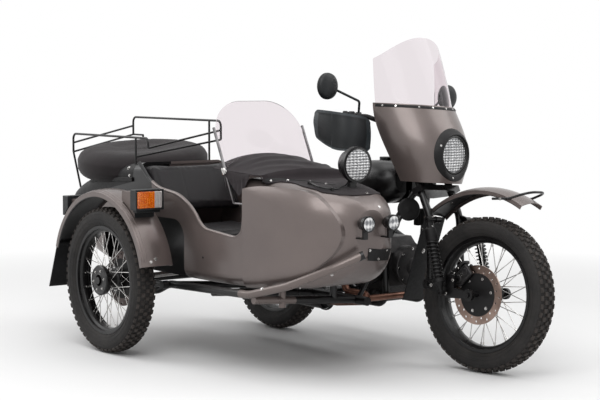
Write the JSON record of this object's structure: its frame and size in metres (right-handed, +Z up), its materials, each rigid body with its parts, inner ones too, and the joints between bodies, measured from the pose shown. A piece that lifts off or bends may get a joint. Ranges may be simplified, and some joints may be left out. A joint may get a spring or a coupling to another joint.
{
  "type": "sidecar motorcycle",
  "caption": "Three-wheeled motorcycle with a leading-link fork, fairing and a hollow sidecar that carries a covered spare wheel on its hinged trunk lid.",
  "frame": {"origin": "on the ground under the middle of the whole vehicle", "axes": "+Z up, -Y to the front, +X to the rider's left; the sidecar is on the -X side"},
  "size_m": [1.5945, 2.565, 1.4713],
  "materials": {
    "black_tyre": "matt",
    "black_paint": "satin",
    "body_paint": "satin metallic",
    "bare_steel": "satin",
    "dull_aluminium": "cast, dull",
    "copper_pipe": "heat tinted",
    "black_plastic": "matt",
    "black_rubber": "matt",
    "black_vinyl": "matt",
    "dark_cloth": "matt",
    "clear_glass": "clear",
    "lamp_glass": "fluted",
    "amber_glass": "fluted",
    "red_glass": "fluted"
  },
  "bodies": {
    "front_wheel": {"front_tyre": "black_tyre", "front_wire_wheel": "black_paint", "front_brake_disc": "bare_steel"},
    "rear_wheel": {"rear_tyre": "black_tyre", "rear_wire_wheel": "black_paint", "rear_brake_disc": "bare_steel"},
    "sidecar_wheel": {"sidecar_tyre": "black_tyre", "sidecar_wire_wheel": "black_paint", "sidecar_brake_disc": "bare_steel"},
    "steering": {"front_fork": "black_paint", "leading_link": "black_paint", "front_shocks": "black_paint", "front_fender": "body_paint", "fender_loop": "black_paint", "front_flap": "black_rubber", "fairing": "body_paint", "windscreen": "clear_glass", "headlamp_housing": "black_paint", "headlamp_lens": "lamp_glass", "handlebar": "black_paint", "grips_and_levers": "black_rubber", "hand_guards": "black_plastic", "mirrors": "black_plastic"},
    "trunk_lid_body": {"trunk_lid": "black_paint", "spare_wheel_cover": "dark_cloth", "luggage_rack": "black_paint"},
    "chassis": {"bike_frame": "black_paint", "fuel_tank": "black_paint", "saddle": "black_vinyl", "engine_block": "dull_aluminium", "engine_cylinders": "dull_aluminium", "exhaust_pipes": "copper_pipe", "mufflers": "black_paint", "intake": "black_plastic", "side_covers": "black_paint", "swing_arm": "black_paint", "rear_shocks": "black_paint", "rear_fender": "body_paint", "tail_lamp": "red_glass", "sidecar_tub": "body_paint", "seat_cushion": "black_vinyl", "seat_back": "black_vinyl", "tonneau_cover": "dark_cloth", "side_screen": "clear_glass", "side_screen_frame": "black_paint", "sidecar_frame": "black_paint", "sidecar_struts": "black_paint", "drive_shaft": "bare_steel", "sidecar_arm": "black_paint", "sidecar_fender": "body_paint", "sidecar_flap": "black_rubber", "marker_lamps": "black_plastic", "marker_lenses": "amber_glass", "nose_lamps": "black_paint", "clear_lenses": "lamp_glass"}
  },
  "joints": [
    {"name": "steering_pivot", "type": "hinge", "parent": "chassis", "child": "steering", "pos_m": [0.333, -1.008, 0], "axis": [0, 0.4695, 0.8829], "range_deg": [-43.5, 26.5]},
    {"name": "front_wheel_spin", "type": "hinge", "parent": "steering", "child": "front_wheel", "pos_m": [0.34825, -0.942, 0.34147], "axis": [0.989, 0.1305, -0.0694], "continuous": true},
    {"name": "rear_wheel_spin", "type": "hinge", "parent": "chassis", "child": "rear_wheel", "pos_m": [0.333, 0.587, 0.342], "axis": [1, 0, 0], "continuous": true},
    {"name": "sidecar_wheel_spin", "type": "hinge", "parent": "chassis", "child": "sidecar_wheel", "pos_m": [-0.727, 0.477, 0.342], "axis": [1, 0, 0], "continuous": true},
    {"name": "trunk_lid_hinge", "type": "hinge", "parent": "chassis", "child": "trunk_lid_body", "pos_m": [-0.3005, 0.549, 0.884], "axis": [1, 0, 0], "range_deg": [0, 32]}
  ]
}
